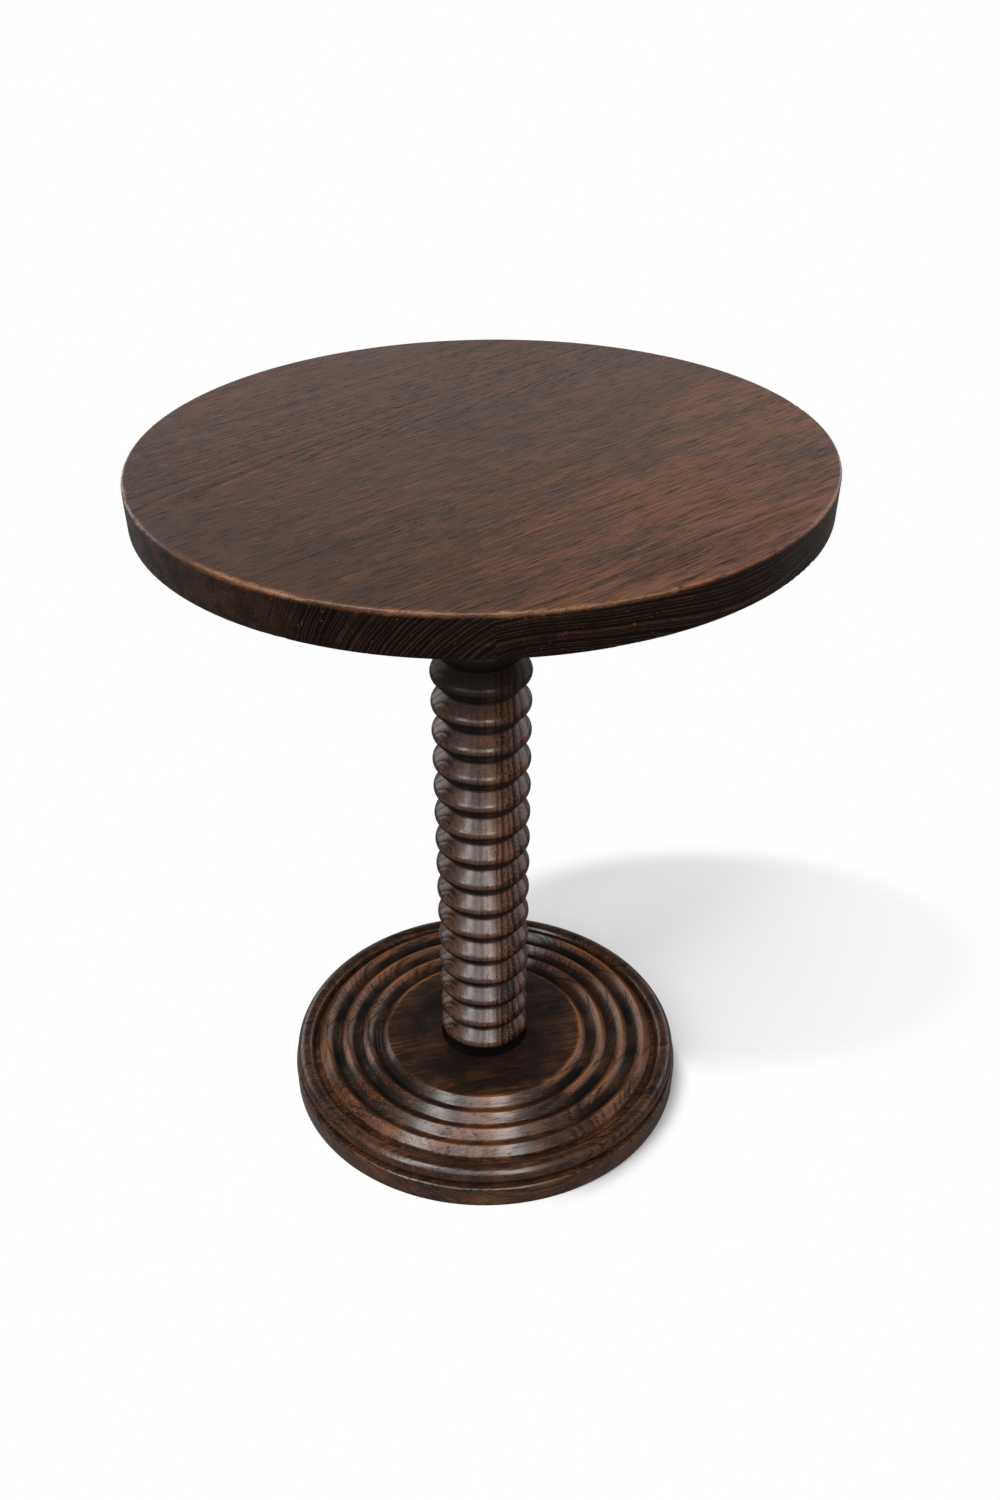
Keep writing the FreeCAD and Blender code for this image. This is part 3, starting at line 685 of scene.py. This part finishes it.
FLOOR_REACH, FLOOR_GAP = 30.0, 0.0005
floor_mesh = bpy.data.meshes.new("floor")
corners = np.array([(-1, -1, 0), (1, -1, 0), (1, 1, 0), (-1, 1, 0)]) * FLOOR_REACH - (0, 0, FLOOR_GAP)
floor_mesh.from_pydata(corners.tolist(), [], [(0, 1, 2, 3)])
floor_mesh.materials.append(white_floor())
floor = bpy.data.objects.new("floor", floor_mesh)
bpy.context.scene.collection.objects.link(floor)
print("floor", 2 * FLOOR_REACH, "m wide")

# %% [markdown]
# ## The light
#
# A small lamp high on the left throws the shadow to the right. Two tall soft boxes in front make the
# two bright strips on every bead, a dimmer box fills the space between them, and wide dim panels give
# the sides their even light. Seen from the far side, the wax of the upper face would mirror the boxes
# as a sheet of white. So they spare the top, and two wide panels of its own, the washes, light it
# instead. Two low lamps at the rear reach the far flanks of the coves and the back of the column.

# %% World and the pieces that a lamp lights
world = Paint(bpy.data.worlds.new("studio"))
dim, white = (
    world.node("ShaderNodeBackground", {}, {"Color": grey(1.0), "Strength": level})
    for level in (AMBIENT, 1.0))
sky = world.mix(white_rays(world, SKY_MIRROR), dim, white)
bpy.context.scene.world = world.surface(sky, "ShaderNodeOutputWorld")


def lit_pieces(name, state):
    """The top's boards as a list for a lamp: the only pieces that it lights, or that it spares."""
    pieces = bpy.data.collections.new(name)
    for board in TOP_BOARDS:
        pieces.objects.link(nodes[board])
    for member in pieces.collection_objects:
        member.light_linking.link_state = state
    return pieces


TOP_ALONE, ALL_BUT_TOP = lit_pieces("top_alone", "INCLUDE"), lit_pieces("all_but_top", "EXCLUDE")
print("world and", len(TOP_BOARDS), "boards listed for the lamps")

# %% Lamps
LAMP_AIM = Vector((0, 0, 0.35))


def soft_lamp(name, side, lift, far, wide, high, watts, lights=None):
    """A soft rectangle of light, at an angle round the table and above the floor, aimed at it."""
    shape = bpy.data.lights.new(name, "AREA")
    shape.shape = "RECTANGLE"
    shape.size, shape.size_y, shape.energy = wide, high, watts
    lamp = bpy.data.objects.new(name, shape)
    around, above = math.radians(side), math.radians(lift)
    away = Vector((math.cos(around) * math.cos(above), math.sin(around) * math.cos(above), math.sin(above)))
    lamp.location = LAMP_AIM + away * far
    lamp.rotation_euler = away.to_track_quat("Z", "Y").to_euler()
    lamp.light_linking.receiver_collection = lights
    bpy.context.scene.collection.objects.link(lamp)
    print(name, "at", [round(value, 2) for value in lamp.location])


soft_lamp("key_lamp", side=174, lift=63, far=2.6, wide=0.4, high=0.4, watts=9.0)
soft_lamp("left_panel", side=188, lift=42, far=2.6, wide=3.3, high=3.0, watts=12.0)
soft_lamp("front_panel", side=256, lift=42, far=2.6, wide=3.3, high=3.0, watts=12.0)
soft_lamp("left_wash", side=188, lift=58, far=2.6, wide=3.3, high=2.2, watts=38.0, lights=TOP_ALONE)
soft_lamp("front_wash", side=256, lift=52, far=2.6, wide=3.3, high=2.2, watts=38.0, lights=TOP_ALONE)
soft_lamp("left_box", side=186, lift=36, far=2.4, wide=0.55, high=2.1, watts=29.0, lights=ALL_BUT_TOP)
soft_lamp("middle_box", side=216, lift=35, far=2.4, wide=0.9, high=2.1, watts=11.0, lights=ALL_BUT_TOP)
soft_lamp("front_box", side=246, lift=36, far=2.4, wide=0.55, high=2.1, watts=29.0, lights=ALL_BUT_TOP)
soft_lamp("back_panel", side=50, lift=16, far=3.0, wide=4.0, high=1.6, watts=6.5)
soft_lamp("right_panel", side=325, lift=25, far=2.8, wide=2.0, high=1.6, watts=5.0)
soft_lamp("rear_left", side=100, lift=14, far=3.0, wide=2.4, high=1.6, watts=18.0)
soft_lamp("rear_right", side=0, lift=14, far=3.0, wide=2.4, high=1.6, watts=11.0)
bpy.context.scene.view_settings.view_transform = "Standard"
